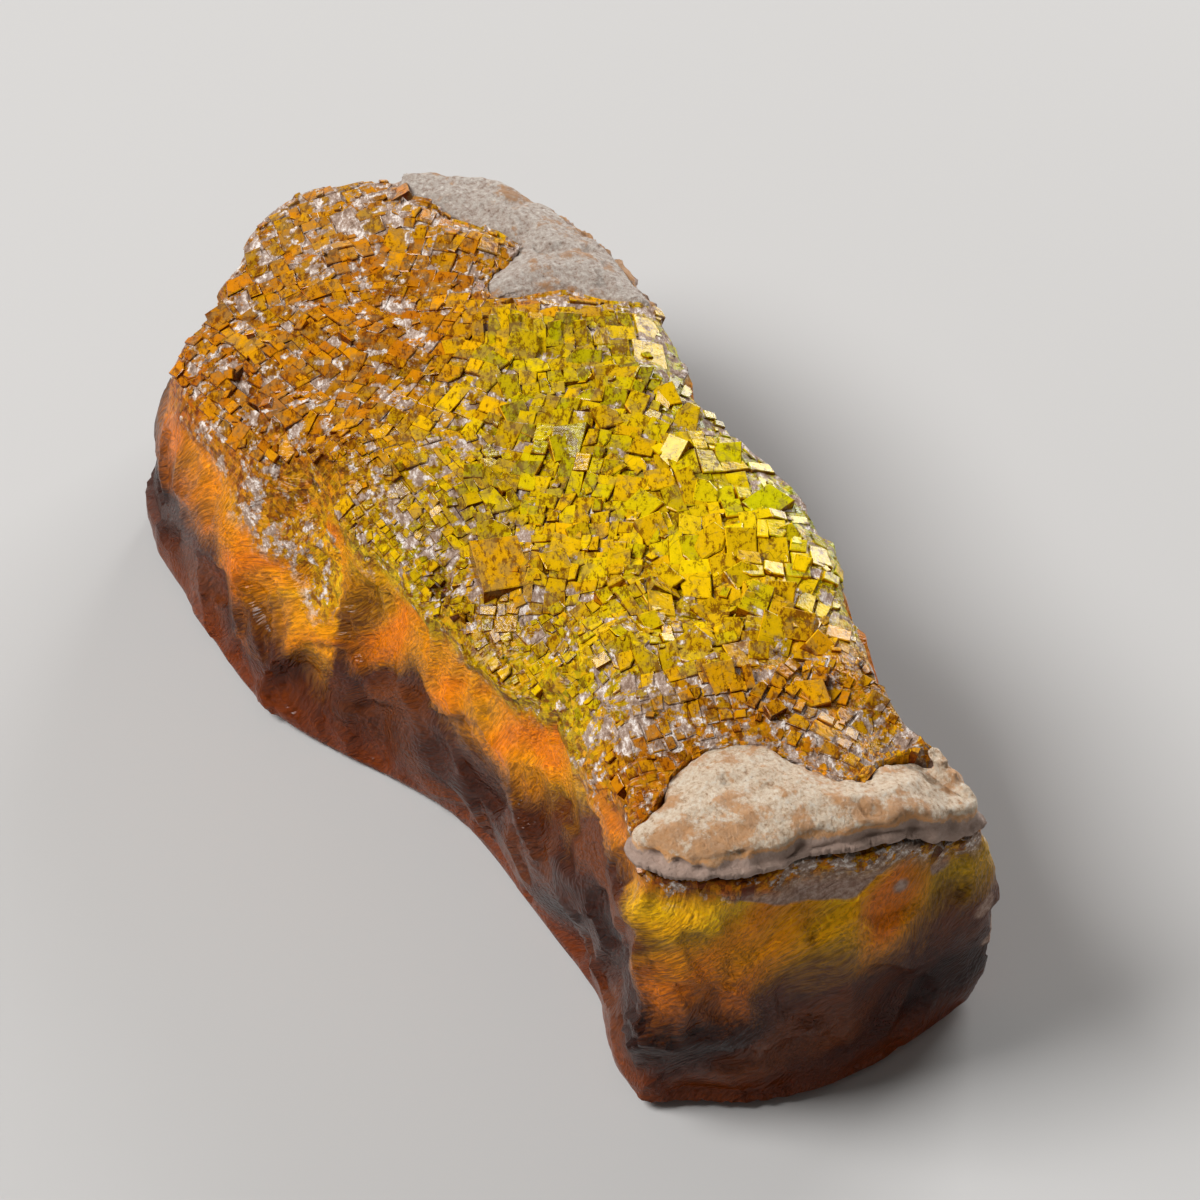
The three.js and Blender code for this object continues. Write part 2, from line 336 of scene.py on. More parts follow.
def split(low, high, least, most, rng):
    """A rectangle cut again and again into blocks, as (centre, size) pairs."""
    size = high - low
    side = int(size[1] * rng.uniform(0.8, 1.25) > size[0])
    limit = rng.uniform(least[side], most[side])
    if size[side] < max(limit, 2 * least[side] * 0.9):
        return [((low + high) / 2, size)]
    cut = low[side] + size[side] * rng.uniform(0.35, 0.65)
    first_high, second_low = high.copy(), low.copy()
    first_high[side] = second_low[side] = cut
    return split(low, first_high, least, most, rng) + split(second_low, high, least, most, rng)


# Grains of the mosaic: middle (x, y) in mm, turn of the blocks in degrees from the viewer's
# direction, and scale of the blocks.
GRAINS = [
    ((-30, -3), 20, 1.0), ((-24, 6), -12, 1.0), ((-22, -9), 38, 0.8), ((-13, -3), -28, 0.9),
    ((-12, 7), 6, 1.1), ((-4, -8), 30, 0.6), ((-1, 3), -18, 0.9), ((6, 9), 14, 1.0),
    ((7, -4), -8, 0.7), ((14, 4), 4, 1.15), ((15, -7), 24, 0.65), ((21, 6), -14, 1.1),
    ((22, -4), 10, 0.9), ((28, 3), -24, 0.9), ((28, -8), 16, 0.8),
]
GRAIN_REACH = 14.0  # mm
ACROSS = np.array([1.0, 0.0, 0.0])
ALONG = np.array([0.0, 1.0, 0.0])


class Mosaic:
    """The blocks of the mosaic, which stand a little out of the body."""

    def __init__(self, body, crust):
        self.rng = np.random.default_rng(MOSAIC_SEED)
        self.boxes = []
        self.body = body
        points = body.points
        self.ground = tree_of(points[body.top], True)
        able = np.flatnonzero(body.top)
        gap = np.full(len(points), 99.0)
        closest, gap[able] = nearest(points[able], crust)
        before_crust = ((points[able] - crust[closest]) @ VIEWER > 0.3) & (points[able, 0] > 30)
        gap[able[before_crust]] = 0.0
        self.inset = np.zeros(len(points))
        self.inset[able] = body.inset(points[able])
        level = body.normals[able, 2] > np.where(points[able, 1] < 0, 0.72, 0.4)
        level &= hollow_share(points[able]) < 0.35
        self.able = able[(gap[able] > 0.4) & (self.inset[able] > 0.3) & level]
        self.sparse = grout_share(points)
        self.stepped = stepped_share(points)
        self.yaw = math.atan2(VIEWER[1], VIEWER[0])
        self.blocks()
        self.plate_and_columns()
        self.corners_up()
        self.crumbs()

    def grow(self, place, size, spin, rise):
        """Add a block, smaller where it would reach over the rim."""
        for _ in range(4):
            points, faces = prism(outline(size, self.rng), min(0.06, 0.08 * min(size)))
            points = points @ spin.T + place + UP * rise
            if all(self.ground.find((x, y, 0.0))[2] < RIM_SLACK for x, y, _ in points):
                self.boxes.append((points, faces))
                return
            size = 0.75 * size

    def rim(self, i):
        """1 at the rim of the mosaic, 0 inside."""
        return smoothstep(self.inset[i], 3.0, 0.6)

    def blocks(self):
        """A pavement of blocks with narrow cracks between them, turned grain by grain."""
        rng, points = self.rng, self.body.points
        middles = np.array([grain[0] for grain in GRAINS], float)
        able = points[self.able]
        for number, (_, degrees, scale) in enumerate(GRAINS):
            yaw = self.yaw + math.radians(degrees)
            axes = np.array([[math.cos(yaw), math.sin(yaw)], [-math.sin(yaw), math.cos(yaw)]])
            half = np.full(2, GRAIN_REACH) / scale
            for offset, size in split(-half, half, BLOCK_LEAST, BLOCK_MOST, rng):
                plan = middles[number] + scale * offset @ axes
                if np.argmin(np.linalg.norm(middles - plan, axis=1)) != number:
                    continue
                i = self.able[np.argmin(np.linalg.norm(able[:, :2] - plan, axis=1))]
                if np.linalg.norm(points[i, :2] - plan) > 0.45 or rng.random() < 0.15 * self.sparse[i]:
                    continue
                steep = self.stepped[i] * (1 - self.rim(i))
                lean = math.radians(rng.normal(1 + 7 * steep, 1.8 + 2.2 * steep))
                spin = facing(self.body.normals[i]) @ turn(UP, yaw + rng.normal(0, 0.06)) @ turn(ALONG, lean)
                spin = spin @ turn(ACROSS, math.radians(rng.normal(0, 1.8 + 1.5 * steep)))
                wide = scale * size * (1 - 0.12 * self.sparse[i]) * (1 - 0.25 * self.rim(i)) + 0.02
                rise = rng.uniform(0.06, 0.18 + 0.32 * steep) * (1 - 0.6 * self.rim(i))
                self.grow(np.array([*plan, points[i, 2]]), wide, spin, rise)

    def plate_and_columns(self):
        """A large flat crystal on the left, and a row of long narrow ones on the far side."""
        rng, points = self.rng, self.body.points
        ground = tree_of(points[self.able], True)
        place = points[self.able[ground.find((*PLATE, 0.0))[1]]]
        self.grow(place, PLATE_SIZE, turn(UP, self.yaw + 0.3), 0.35)
        sideways = np.array([-VIEWER[1], VIEWER[0]])
        for k in range(-4, 5):
            plan = COLUMNS + COLUMN_STEP * k * sideways + rng.uniform(-0.4, 0.4) * VIEWER[:2]
            place = points[self.able[ground.find((*plan, 0.0))[1]]]
            spin = turn(UP, self.yaw + rng.normal(0, 0.05)) @ turn(ALONG, math.radians(rng.normal(9, 3)))
            self.grow(place, np.array([rng.uniform(2.4, 4.0), COLUMN_WIDTH]), spin, rng.uniform(0.3, 0.5))

    def corners_up(self):
        """Cubes that stand on an edge and show a face, a side and a ledge."""
        rng, points = self.rng, self.body.points
        able = self.able[(self.stepped[self.able] > 0.5) & (self.inset[self.able] > 2.0)]
        for i in scattered(points, able, np.full(len(points), CORNER_GAP), rng):
            size = rng.uniform(1.2, 2.2) * rng.uniform(0.75, 1.2, 2)
            spin = turn(UP, self.yaw + rng.normal(0.0, 0.5)) @ turn(ALONG, math.radians(rng.normal(18, 6)))
            self.grow(points[i], size, spin, rng.uniform(0.3, 0.6))

    def crumbs(self):
        """Small cubes between the large ones."""
        rng, points = self.rng, self.body.points
        for i in scattered(points, self.able, 1.7 + 0.6 * self.sparse, rng):
            size = rng.uniform(0.35, 0.8) * rng.uniform(0.7, 1.2, 2)
            tilt = turn(rng.normal(size=3) * np.array([1, 1, 0.1]), rng.normal(0, 0.2))
            spin = tilt @ facing(self.body.normals[i]) @ turn(UP, rng.uniform(0, math.pi))
            rise = rng.uniform(0.1, 0.28 + 0.15 * self.stepped[i]) * (1 - 0.5 * self.rim(i))
            self.grow(points[i], size, spin, rise)


def grown_together(points, faces, boxes):
    """The body and its blocks joined in one mesh. Faces of blocks have material number 1."""
    body = mesh_object("body", points, faces)
    for _ in range(2):
        body.data.materials.append(None)
    group = bpy.data.collections.new("crystals")
    scene.collection.children.link(group)
    made = []
    for corners, box_faces in boxes:
        box = mesh_object("crystal", corners, box_faces, group)
        for _ in range(2):
            box.data.materials.append(None)
        box.data.polygons.foreach_set("material_index", [1] * len(box_faces))
        made.append(box)
    union = body.modifiers.new("union", "BOOLEAN")
    union.operation = "UNION"
    union.operand_type = "COLLECTION"
    union.collection = group
    union.solver = "MANIFOLD"
    graph = bpy.context.evaluated_depsgraph_get()
    mesh = bpy.data.meshes.new_from_object(body.evaluated_get(graph))
    for box in made:
        bpy.data.meshes.remove(box.data)
    bpy.data.collections.remove(group)
    bpy.data.objects.remove(body)
    return mesh


def facet_numbers(normals, offsets):
    """The same number from 0 to 1 for all polygons of one flat facet."""
    keys = np.column_stack([np.round(normals * 60), np.round(offsets / 0.02)]).astype(np.int64)
    mixed = keys @ np.array([73856093, 19349663, 83492791, 2654435761])
    cells = np.column_stack([(mixed >> shift) & 0xFFFF for shift in (0, 16, 32)])
    return (lattice(cells, 9) + 1.0) / 2.0


def store(mesh, name, values, domain):
    """Keep one number for each face or point of a mesh, for its material."""
    mesh.attributes.new(name, "FLOAT", domain).data.foreach_set("value", np.asarray(values, np.float32))


def polygon_vectors(mesh, name):
    """The centre or the normal of each polygon."""
    values = np.empty(len(mesh.polygons) * 3)
    mesh.polygons.foreach_get(name, values)
    return values.reshape(-1, 3)


def dust_cover(points, body):
    """How much of the mosaic is covered with grey dust, from 0 to 1."""
    x, y = points[:, 0], points[:, 1]
    near = np.interp(x, [-38, -20, -8, 4, 14, 22, 32], [0.3, 0.22, 0.2, 0.2, 0.14, 0.2, 0.26])
    bright = spot(points, (13.0, 6.0), (12.0, 6.0))
    left = spot(points, (3.0, -8.0), (12.0, 5.0))
    top_end = spot(points, (-31.0, 1.5), (3.5, 5.0))
    far_rim = smoothstep(y, 8.0, 12.0) * smoothstep(body.inset(points), 2.0, 0.3)
    near_rim = smoothstep(y, -4.0, -8.0) * smoothstep(body.inset(points), 2.5, 0.5)
    white = spot(points, (22.5, -8.2), (3.0, 3.0))
    added = 0.1 * left + 0.12 * far_rim + 0.35 * white + 0.15 * top_end
    return np.clip(near + added - 0.16 * bright - 0.2 * near_rim, 0, 1)


# Grey chips on the right of the end wall: place and radius in mm.
GREY_CHIPS = [
    ((38.0, 5.0, 17.4), 1.1), ((38.2, 2.0, 17.4), 1.0), ((38.2, 8.2, 12.3), 1.5), ((36.8, 10.8, 7.5), 1.6),
    ((34.5, 12.3, 3.5), 1.8), ((38.0, -9.0, 4.5), 1.4),
]


def lilac_band(points):
    """1 on the lilac-grey band below the front crust and on the grey chips."""
    x, y, z = points.T
    middle = np.interp(y, [-13, -9, -5, -1.5, 2, 6, 9], [23.2, 22.6, 21.0, 20.6, 21.8, 21.4, 20.8])
    half = np.interp(y, [-13, -11, -6, -1, 1.5, 8, 10], [0.2, 1.6, 3.0, 3.0, 1.9, 1.5, 0.2])
    band = (1 - smoothstep(np.abs(z - middle) / half, 0.7, 1.3)) * smoothstep(x, 31, 33)
    for place, radius in GREY_CHIPS:
        band = np.maximum(band, 0.9 * np.exp(-(np.linalg.norm(points - place, axis=1) / radius) ** 2))
    return band


FIBRE_AXIS = np.array([0.5, 0.6, 0.62]) / np.linalg.norm([0.5, 0.6, 0.62])


def swirled(points):
    """Points moved about in long curls, in which the fibres are drawn."""
    curl = [1.7 * noise(points, 6.0, 101 + i) + 0.5 * noise(points, 2.4, 111 + i) for i in range(3)]
    return points + np.column_stack(curl)


def hue_place(centre, tone, side):
    """Where a facet lies between greenish yellow, 0, and orange, 1."""
    x, y = centre[:, 0], centre[:, 1]
    far = smoothstep(x, -4.0, -18.0)
    near = smoothstep(x, 19.0, 27.0)
    across = np.interp(y, [-12, 2, 7, 13], [0.15, 0.0, 0.0, -0.2])
    local = 0.35 * spot(centre, PLATE, (2.2, 2.2)) - 0.3 * spot(centre, COLUMNS, (4.5, 4.5))
    # Side faces lean towards orange: painted shade, matching their darker value in add_attributes.
    turned = 0.12 * noise(centre, 9.0, 121) + 0.35 * side + (tone - 0.5) * 0.26
    return 0.3 + across + 0.35 * far + 0.3 * near + local + turned


def add_attributes(mesh, body):
    """Store what the material reads: tones of the facets, dust, heights and streaks."""
    count = len(mesh.polygons)
    centre = polygon_vectors(mesh, "center") / MM
    normal = polygon_vectors(mesh, "normal")
    kind = np.empty(count, np.int32)
    mesh.polygons.foreach_get("material_index", kind)
    crystal = kind == 1
    points = np.empty(len(mesh.vertices) * 3)
    mesh.vertices.foreach_get("co", points)
    points = points.reshape(-1, 3) / MM
    lift = body.lift(points)
    depth = np.maximum(-lift, 0.0)
    tone = facet_numbers(normal, (centre * normal).sum(1))
    # Side faces of the crystals: they get painted shade, darker and more orange, and hold less dust.
    side = smoothstep(normal[:, 2], 0.75, 0.3) * crystal
    ledge = UP * 0.87 - VIEWER * 0.5
    ledges = smoothstep(normal @ ledge, 0.86, 0.97) * (tone > 0.35) * stepped_share(centre) * crystal
    curled = swirled(points)
    streak = fractal(curled @ facing(FIBRE_AXIS) / np.array([1.0, 1.0, 4.0]), 4.0, 71, 4)
    store(mesh, "hue", hue_place(centre, tone, side), "FACE")
    # Painted light and shade: facets lighter in a pool of light round the middle right of the mosaic, and
    # darker in the hollows.
    local = 0.2 * spot(centre, (14.0, 6.0), (13.0, 6.5)) - 0.5 * hollow_share(centre)
    # Facets differ at random in tone; side faces are painted darker as painted shade.
    value = 0.5 + 0.5 * np.mod(tone * 3.0, 1.0) + 0.12 * noise(centre, 2.4, 131) - 0.42 * side
    store(mesh, "value", value + local, "FACE")
    dusty = (np.mod(tone * 7.0, 1.0) < 0.1) & crystal
    store(mesh, "hold", 0.14 * ledges + 0.13 * dusty - 0.1 * side, "FACE")
    store(mesh, "crystal", crystal, "FACE")
    store(mesh, "lift", lift, "POINT")
    store(mesh, "cover", dust_cover(points, body), "POINT")
    store(mesh, "band", lilac_band(points) + 0.3 * noise(points, 2.2, 141), "POINT")
    store(mesh, "streak", 0.5 + 0.4 * streak, "POINT")
    # sweep: depth below the bare top, with wander and shifts at the two ends; it places the painted glow and
    # painted shade on the walls.
    amber_end = 4.0 * smoothstep(points[:, 0], 30, 35) * smoothstep(points[:, 1], 5, -6)
    amber_end -= 3.0 * smoothstep(points[:, 0], -18, -30) * smoothstep(points[:, 1], 4, -4)
    wander = (3.0 * noise(points, 9.0, 151) + 4.5 * streak) * smoothstep(depth, 0.5, 5.0)
    store(mesh, "sweep", depth + wander - amber_end * smoothstep(depth, 0.5, 3.0), "POINT")
    vectors = mesh.attributes.new("curled", "FLOAT_VECTOR", "POINT").data
    vectors.foreach_set("vector", curled.astype(np.float32).ravel())
    mesh.polygons.foreach_set("material_index", np.zeros(count, np.int32))
    mesh.polygons.foreach_set("use_smooth", ~crystal)


# Crusts

CRUST_VOXEL = 0.22  # mm
CRUST_COARSE_VOXEL = 0.5  # mm, where only the crust's place is needed
CRUST_RELAX_ROUNDS = 6


def crust_mesh(node, seed):
    """Points, faces and depth below the crown of a crust with grains, pits and ragged edges."""
    points, faces, _ = remeshed(node, CRUST_VOXEL)
    edges = edges_of(faces)
    points = relaxed(points, edges, np.full(len(points), 0.5), CRUST_RELAX_ROUNDS)
    normals = normals_of(points, faces)
    upper = points[:, 2] > np.percentile(points[:, 2], 40)
    lip = upper & (np.abs(normals[:, 2]) < 0.6)
    inset = nearest(points, points[lip], True)[1]
    sink = 0.5 * (1 - smoothstep(inset, 0.0, 2.2)) * smoothstep(normals[:, 2], -0.2, 0.4)
    grain = 0.1 * fractal(points, 2.2, seed, 3) + 0.09 * fractal(points, 0.7, seed + 7, 2)
    pits = 0.35 * smoothstep(noise(points, 1.0, seed + 13), 0.55, 0.85)
    ragged = 0.1 + 0.35 * fractal(points, 1.4, seed + 19, 2)
    level = normals * np.array([1.0, 1.0, 0.0]) * ragged[:, None]
    under = 0.6 * smoothstep(-normals[:, 2], -0.1, 0.5)
    moved = points + level + normals * (grain - pits + under)[:, None] - UP * sink[:, None]
    crown = moved[normals[:, 2] > 0.7]
    drop = crown[nearest(moved, crown, True)[0], 2] - moved[:, 2]
    return moved, faces, drop


# Materials

class Paint:
    """A node material, built from short calls."""

    def __init__(self, name):
        self.data = bpy.data.materials.new(name)
        self.data.use_nodes = True
        self.tree = self.data.node_tree
        self.tree.nodes.clear()
        place = self.add("ShaderNodeTexCoord").outputs["Object"]
        self.place = self.vector("SCALE", place, Scale=1 / MM)
        self.x, self.y, self.z = self.add("ShaderNodeSeparateXYZ", {0: self.place}).outputs

    def add(self, kind, values=None, **settings):
        node = self.tree.nodes.new(kind)
        for key, value in settings.items():
            setattr(node, key, value)
        for key, value in (values or {}).items():
            if isinstance(value, bpy.types.NodeSocket):
                self.tree.links.new(value, node.inputs[key])
            else:
                node.inputs[key].default_value = value
        return node

    def math(self, operation, *values):
        return self.add("ShaderNodeMath", dict(enumerate(values)), operation=operation).outputs[0]

    def vector(self, operation, *values, **named):
        inputs = {**dict(enumerate(values)), **named}
        return self.add("ShaderNodeVectorMath", inputs, operation=operation).outputs[0]

    def total(self, *values):
        result = values[0]
        for value in values[1:]:
            result = self.math("ADD", result, value)
        return result

    def times(self, *values):
        result = values[0]
        for value in values[1:]:
            result = self.math("MULTIPLY", result, value)
        return result

    def mix(self, share, first, second, blend="MIX"):
        node = self.add("ShaderNodeMix", {0: share, 6: first, 7: second}, data_type="RGBA", blend_type=blend)
        return node.outputs[2]

    def ease(self, value, low, high, start=0.0, end=1.0):
        values = {"Value": value, "From Min": low, "From Max": high, "To Min": start, "To Max": end}
        return self.add("ShaderNodeMapRange", values, interpolation_type="SMOOTHSTEP").outputs[0]

    def noise(self, size, place=None, detail=4.0, rough=0.55):
        values = {"Vector": place or self.place, "Scale": 1 / size, "Detail": detail, "Roughness": rough}
        return self.add("ShaderNodeTexNoise", values).outputs[0]

    def stretched(self, tilt, azimuth, length, place=None):
        """Coordinates in which a texture is drawn out along one direction."""
        values = {
            "Vector": place or self.place,
            "Rotation": (0.0, tilt, azimuth),
            "Scale": (1.0, 1.0, length),
        }
        return self.add("ShaderNodeMapping", values, vector_type="TEXTURE").outputs[0]

    def cracks(self, size, width, place=None):
        """1 on thin winding lines."""
        off = self.math("ABSOLUTE", self.math("SUBTRACT", self.noise(size, place, detail=1.0), 0.5))
        return self.ease(off, width, 0.3 * width)

    def tinted(self, colour, value):
        """A colour multiplied by a value."""
        grey = self.add("ShaderNodeCombineColor", {0: value, 1: value, 2: value}).outputs[0]
        return self.mix(1.0, colour, grey, "MULTIPLY")

    def attribute(self, name):
        return self.add("ShaderNodeAttribute", attribute_name=name).outputs["Fac"]

    def ramp(self, value, *stops):
        node = self.add("ShaderNodeValToRGB", {0: value})
        while len(node.color_ramp.elements) < len(stops):
            node.color_ramp.elements.new(0.5)
        for element, (position, colour) in zip(node.color_ramp.elements, stops):
            element.position = position
            element.color = (*colour, 1.0)
        return node.outputs[0]

    def bump(self, height, distance):
        values = {"Height": height, "Distance": distance * MM, "Strength": 1.0}
        return self.add("ShaderNodeBump", values).outputs[0]

    def finish(self, shader, volume=None):
        output = self.add("ShaderNodeOutputMaterial", {"Surface": shader.outputs[0]})
        if volume:
            self.tree.links.new(volume.outputs[0], output.inputs["Volume"])
        return self.data


def rgb(red, green, blue):
    """A screen colour as the linear colour that shaders use."""
    return tuple(((c / 255 + 0.055) / 1.055) ** 2.4 for c in (red, green, blue))


def colour(red, green, blue):
    """A screen colour as the value of a shader's colour socket."""
    return (*rgb(red, green, blue), 1.0)


FLUORITE_IOR = 1.434
THICK_COLOUR = (0.97, 0.78, 0.05, 1.0)  # of the light that comes through a thick piece
ABSORPTION = 60.0  # per metre


def fluorite_paint():
    """Yellow to orange crystals with dust on top and some painted light and shade, and brown walls with a
    painted glow below the rim and painted shade lower down.
    """
    paint = Paint("fluorite")
    names = ("hue", "value", "hold", "crystal", "lift", "cover", "band", "streak", "sweep")
    hue, value, hold, crystal, lift, cover, band, streak, sweep = (paint.attribute(name) for name in names)
    curled = paint.add("ShaderNodeAttribute", attribute_name="curled").outputs["Vector"]
    top = paint.ease(lift, -2.5, -0.6)
    mottle = paint.noise(0.4, paint.stretched(1.35, -0.5, 2.2), detail=4.0, rough=0.78)
    fine = paint.ease(mottle, 0.3, 0.7)
    specks = paint.noise(1.2, detail=4.0, rough=0.68)
    strands = paint.noise(0.18, paint.stretched(0.9, 0.88, 6.0, curled), detail=3.0, rough=0.75)
    fibre = paint.ease(strands, 0.32, 0.68)
    cracks = paint.times(paint.cracks(1.6, 0.014, curled), paint.ease(specks, 0.42, 0.52))

    crystal_hue = paint.ramp(
        hue,
        (0.05, rgb(216, 222, 0)), (0.28, rgb(255, 214, 0)), (0.5, rgb(255, 188, 0)),
        (0.72, rgb(240, 152, 0)), (0.95, rgb(206, 106, 0)),
    )
    crystal_value = paint.total(
        value,
        paint.times(fine, 0.3),
        paint.times(cracks, -0.45),
        # Painted shade: facets darker where they stand low, near the bare top.
        paint.ease(lift, 0.2, 0.0, 0.0, -0.3),
    )
    crystal_colour = paint.tinted(crystal_hue, crystal_value)
    crystal_shade = paint.ramp(hue, (0.05, rgb(122, 92, 0)), (0.4, rgb(132, 70, 0)), (0.9, rgb(112, 42, 0)))
    pitted = paint.ease(paint.math("MULTIPLY_ADD", value, 0.15, mottle), 0.6, 0.52, 0.0, 0.8)
    crystal_colour = paint.mix(pitted, crystal_colour, crystal_shade)
    veil = paint.ease(paint.math("MULTIPLY_ADD", cover, 0.5, specks), 0.56, 0.72, 0.0, 0.5)
    crystal_colour = paint.mix(veil, crystal_colour, colour(158, 128, 78))

    # Painted glow and shade on the walls: dark brown deep down to bright amber below the rim, partly the
    # wall's own colour and partly painted glow of light through the thin rim and painted shade lower down.
    painted_glow = paint.ease(paint.math("MULTIPLY_ADD", fibre, -1.2, sweep), 7.5, -0.5)
    brown = paint.ramp(streak, (0.2, rgb(44, 13, 0)), (0.5, rgb(80, 32, 1)), (0.8, rgb(122, 58, 4)))
    amber = paint.ramp(streak, (0.2, rgb(236, 126, 0)), (0.5, rgb(255, 166, 0)), (0.8, rgb(255, 206, 10)))
    wall_colour = paint.mix(painted_glow, brown, amber)
    # Painted glow: the lowest few mm of the walls lighter orange-brown, standing in for light through the
    # thin lower edge.
    wall_colour = paint.mix(paint.ease(paint.z, 4.5, 0.5, 0.0, 0.7), wall_colour, colour(140, 60, 8))
    corner = paint.times(
        paint.ease(paint.y, 1.0, 6.0),
        paint.ease(paint.z, 13.0, 18.0),
        paint.ease(paint.x, 33.0, 36.0),
    )
    wall_colour = paint.mix(paint.times(corner, 0.8), wall_colour, colour(205, 160, 0))
    wall_value = paint.total(
        0.6,
        paint.times(fibre, 0.55),
        paint.times(fine, 0.3),
        # Painted glow: cracks lighter in the glowing band.
        paint.times(cracks, painted_glow, 0.6),
    )
    wall_colour = paint.tinted(wall_colour, wall_value)
    glint = paint.ease(mottle, 0.74, 0.78)
    wall_colour = paint.mix(paint.times(glint, 0.7), wall_colour, colour(225, 190, 160))
    lilac = paint.ramp(fine, (0.0, rgb(138, 106, 90)), (0.5, rgb(172, 142, 126)), (1.0, rgb(198, 174, 160)))
    banded = paint.ease(band, 0.35, 0.55)
    wall_colour = paint.mix(banded, wall_colour, lilac)

    # Grey-pink dust; its palest stop is painted glints.
    dust_and_glints = paint.ramp(
        paint.math("MULTIPLY_ADD", fine, 0.5, paint.times(specks, 0.5)),
        (0.25, rgb(112, 88, 72)), (0.45, rgb(150, 126, 110)),
        (0.6, rgb(176, 154, 140)), (0.72, rgb(226, 216, 208)),
    )
    edge = paint.math("MULTIPLY_ADD", cover, -0.46, 0.74)
    over = paint.total(specks, hold, paint.ease(lift, 0.22, 0.02, -0.07, 0.13))
    dusted = paint.times(paint.ease(paint.math("SUBTRACT", over, edge), -0.02, 0.03), top)
    base = paint.mix(dusted, paint.mix(top, wall_colour, crystal_colour), dust_and_glints)

    dull = paint.math("MAXIMUM", dusted, paint.times(banded, 0.7))
    clear = paint.math("SUBTRACT", 1.0, dull)
    gloss = paint.mix(crystal, (0.3, 0.3, 0.3, 1.0), (0.15, 0.15, 0.15, 1.0))
    rough = paint.mix(dull, gloss, (0.85, 0.85, 0.85, 1.0))
    see_through = paint.mix(crystal, paint.ease(painted_glow, 0.2, 0.9, 0.45, 0.3), (0.35, 0.35, 0.35, 1.0))
    ridges = paint.noise(0.25, paint.stretched(0.9, 0.88, 5.0, curled), detail=1.0)
    grain = paint.times(ridges, paint.math("MULTIPLY_ADD", crystal, -0.5, 0.6))
    shader = paint.add("ShaderNodeBsdfPrincipled", {
        "Base Color": base,
        "Roughness": rough,
        "IOR": FLUORITE_IOR,
        "Specular IOR Level": 0.12,
        "Transmission Weight": paint.times(clear, see_through),
        "Normal": paint.bump(grain, 0.25),
    })
    volume = paint.add("ShaderNodeVolumeAbsorption", {"Color": THICK_COLOUR, "Density": ABSORPTION})
    return paint.finish(shader, volume)


def crust_paint(name, light, middle, stain, dark, stained):
    """Sugary grains with stains, and a lilac-grey lower edge."""
    paint = Paint(name)
    grain = paint.noise(0.35, detail=8.0, rough=0.75)
    specks = paint.noise(0.8, detail=6.0, rough=0.7)
    patch = paint.noise(3.0, detail=5.0, rough=0.6)
    base = paint.ramp(grain, (0.3, dark), (0.43, middle), (0.55, light), (0.72, rgb(240, 232, 222)))
    spread = paint.total(patch, paint.math("MULTIPLY_ADD", specks, 0.5, -0.25))
    stains = paint.ease(spread, stained, stained + 0.12, 0.0, 0.8)
    base = paint.mix(stains, base, paint.mix(specks, (*dark, 1.0), (*stain, 1.0)))
    base = paint.mix(paint.ease(specks, 0.36, 0.28, 0.0, 0.75), base, (*dark, 1.0))
    drop = paint.math("MULTIPLY_ADD", specks, 1.2, paint.math("SUBTRACT", paint.attribute("drop"), 0.6))
    base = paint.mix(paint.ease(drop, 0.25, 0.5, 0.0, 0.7), base, (*stain, 1.0))
    lower = paint.mix(grain, colour(168, 134, 116), colour(212, 186, 170))
    base = paint.mix(paint.ease(drop, 0.6, 0.85), base, lower)
    shader = paint.add("ShaderNodeBsdfPrincipled", {
        "Base Color": base,
        "Roughness": paint.ease(grain, 0.3, 0.7, 0.85, 0.5),
        "Normal": paint.bump(paint.total(grain, specks), 0.3),
    })
    return paint.finish(shader)


# Build

def finished(obj, node, material):
    """Give a piece its material, put it under the root body and hide the CAD node that it stands for."""
    obj.data.materials.clear()
    obj.data.materials.append(material)
    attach(obj, "root")
    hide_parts(node)


crusts = [remeshed(node, CRUST_COARSE_VOXEL)[0] for node in ("front_crust", "back_crust")]
crust_points = np.concatenate(crusts)
body = Body(crust_points)
mesh = grown_together(body.points, body.faces, Mosaic(body, crust_points).boxes)
add_attributes(mesh, body)
mesh.name = "fluorite_crystal"
fluorite = bpy.data.objects.new("fluorite_crystal", mesh)
scene.collection.objects.link(fluorite)
finished(fluorite, "fluorite", fluorite_paint())


def crust(name, node, seed, material):
    """Build a crust in place of its CAD node."""
    points, faces, drop = crust_mesh(node, seed)
    obj = mesh_object(name, points, faces)
    store(obj.data, "drop", drop, "POINT")
    obj.data.polygons.foreach_set("use_smooth", [True] * len(faces))
    finished(obj, node, material)


crust("cream_crust", "front_crust", 61, crust_paint(
    "cream_crust", rgb(236, 216, 190), rgb(216, 186, 154), rgb(240, 172, 104), rgb(140, 92, 54), 0.46))
crust("pale_crust", "back_crust", 83, crust_paint(
    "pale_crust", rgb(200, 188, 176), rgb(176, 156, 142), rgb(214, 150, 80), rgb(116, 88, 68), 0.52))


# Stage

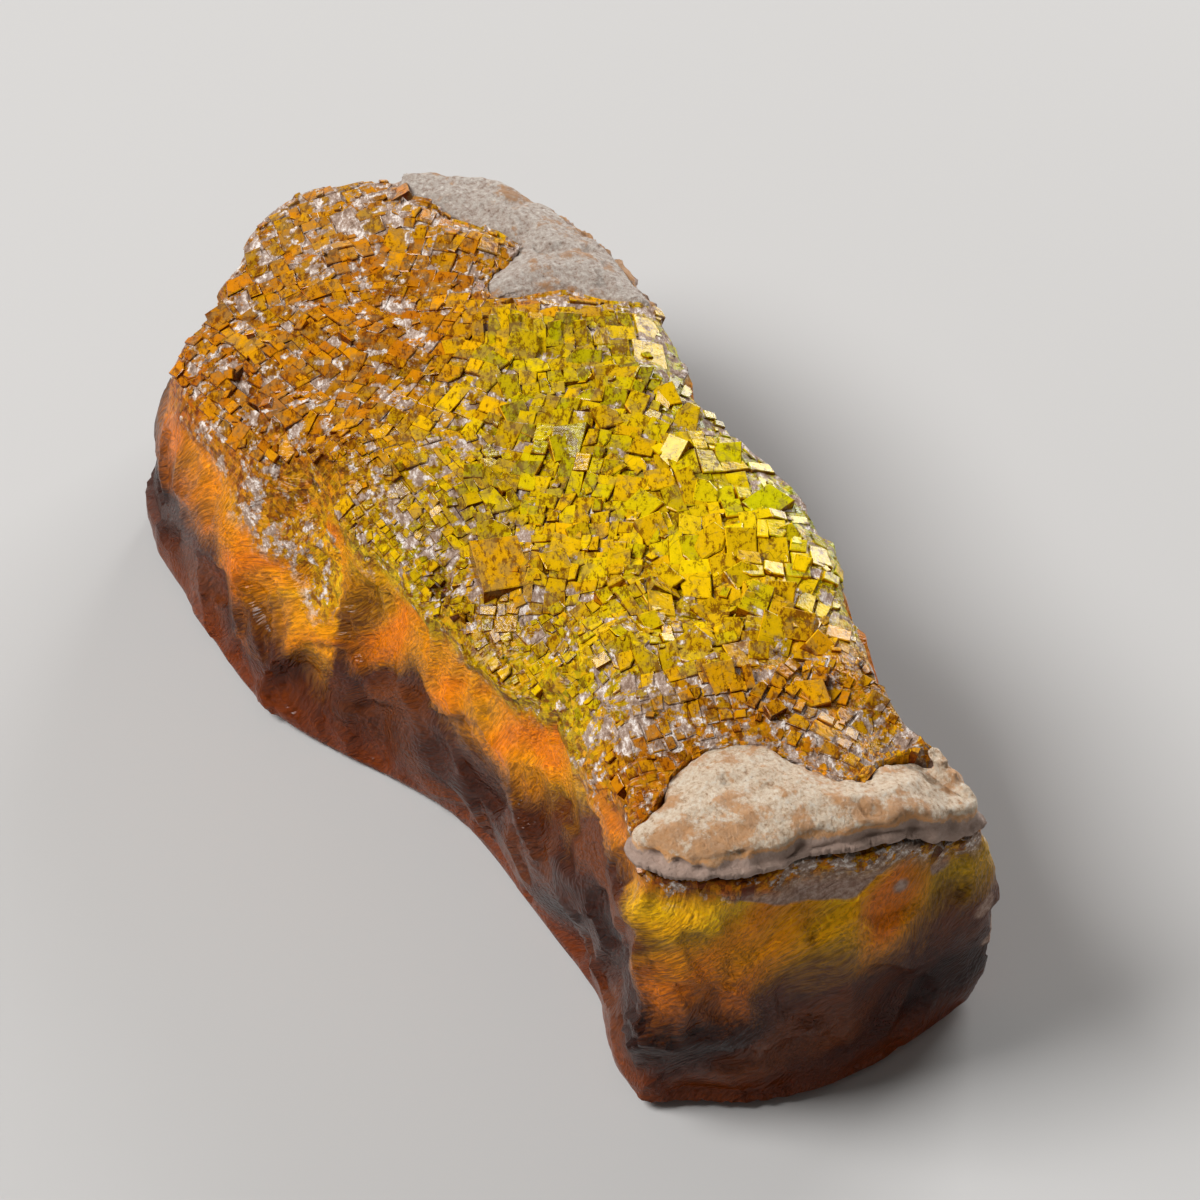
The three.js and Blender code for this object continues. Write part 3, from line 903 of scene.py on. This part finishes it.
LIGHTS = [("back_low", (-0.25, 0.42, 0.16), 2.4), ("key", (-0.15, -0.38, 0.5), 4.8)]  # m and W
LIGHT_SIZE = 0.3
LIGHT_AIM = Vector((0.0, 0.0, 0.012))
FLOOR_COLOUR = (0.52, 0.51, 0.5, 1.0)
FLOOR_HALF = 3000.0  # mm
FLOOR_DROP = 0.02  # mm below the specimen
WORLD_COLOUR = (1.0, 0.97, 0.93, 1.0)
WORLD_STRENGTH = 0.15


def area_light(name, place, power):
    """A square soft light that shines at the specimen."""
    light = bpy.data.lights.new(name, "AREA")
    light.size = LIGHT_SIZE
    light.energy = power
    obj = bpy.data.objects.new(name, light)
    obj.location = place
    obj.rotation_euler = (LIGHT_AIM - Vector(place)).to_track_quat("-Z", "Y").to_euler()
    scene.collection.objects.link(obj)


floor_paint = Paint("floor")
floor_finish = {"Base Color": FLOOR_COLOUR, "Roughness": 0.7}
floor_shader = floor_paint.add("ShaderNodeBsdfPrincipled", floor_finish)
floor_corners = np.array([[-1, -1], [1, -1], [1, 1], [-1, 1]]) * FLOOR_HALF
floor = mesh_object("floor", np.column_stack([floor_corners, np.full(4, -FLOOR_DROP)]), [(0, 1, 2, 3)])
floor.data.materials.append(floor_paint.finish(floor_shader))

for light in LIGHTS:
    area_light(*light)
scene.cycles.max_bounces = 5
scene.cycles.diffuse_bounces = 1
scene.cycles.glossy_bounces = 1
scene.cycles.transmission_bounces = 4
world = bpy.data.worlds.new("studio")
world.use_nodes = True
background = world.node_tree.nodes["Background"]
background.inputs["Color"].default_value = WORLD_COLOUR
background.inputs["Strength"].default_value = WORLD_STRENGTH
scene.world = world
scene.view_settings.view_transform = "Standard"

TARGET = Vector((3.629, 1.153, 12.0)) * MM
AZIMUTH = math.radians(60)
ELEVATION = math.radians(45)
DISTANCE = 0.32258
LENS = 150
SENSOR = 36
back = Vector((
    math.sin(AZIMUTH) * math.cos(ELEVATION),
    -math.cos(AZIMUTH) * math.cos(ELEVATION),
    math.sin(ELEVATION),
))
camera = bpy.data.objects.new("camera", bpy.data.cameras.new("camera"))
camera.data.lens = LENS
camera.data.sensor_width = SENSOR
camera.data.clip_start = 0.01
camera.location = TARGET + back * DISTANCE
camera.rotation_euler = back.to_track_quat("Z", "Y").to_euler()
scene.collection.objects.link(camera)
scene.camera = camera
